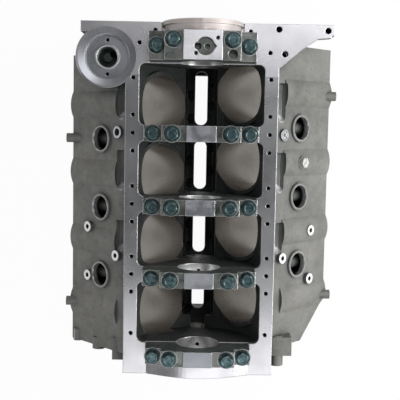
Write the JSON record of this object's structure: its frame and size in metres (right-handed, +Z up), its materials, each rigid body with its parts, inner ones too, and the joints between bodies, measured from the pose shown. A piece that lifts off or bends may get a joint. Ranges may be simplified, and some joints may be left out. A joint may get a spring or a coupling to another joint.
{
  "type": "engine block",
  "caption": "Cast-iron V engine block seen from the crankcase side, with bolted main bearing caps, open cylinder bores, an oil filter pad and a bell housing flange.",
  "frame": {"origin": "on the floor at the middle of the outline's box, the block resting on the inner edges of its two decks", "axes": "+X across the engine, +Y along the crankshaft to the flywheel end, +Z up toward the oil pan side"},
  "size_m": [0.496, 0.611, 0.3071],
  "materials": {
    "bearing_metal": "plain bearing lining",
    "block_iron": "sand cast, machined on the rails, decks and bores",
    "bolt_steel": "black oxide",
    "cap_iron": "milled on top, sides as cast",
    "plug_steel": "plain turned steel"
  },
  "bodies": {
    "root": {"block_casting": "block_iron", "cam_bearings": "bearing_metal", "cam_bore_plug": "plug_steel", "drain_plug": "bolt_steel", "front_gallery_plugs": "plug_steel", "head_dowels_left": "bolt_steel", "head_dowels_right": "bolt_steel", "main_bolts_1": "bolt_steel", "main_bolts_2": "bolt_steel", "main_bolts_3": "bolt_steel", "main_bolts_4": "bolt_steel", "main_bolts_5": "bolt_steel", "main_cap_1": "cap_iron", "main_cap_2": "cap_iron", "main_cap_3": "cap_iron", "main_cap_4": "cap_iron", "main_cap_5": "cap_iron", "main_washers_1": "bolt_steel", "main_washers_2": "bolt_steel", "main_washers_3": "bolt_steel", "main_washers_4": "bolt_steel", "main_washers_5": "bolt_steel", "rear_gallery_plugs": "plug_steel", "side_gallery_plug": "plug_steel"}
  },
  "joints": []
}
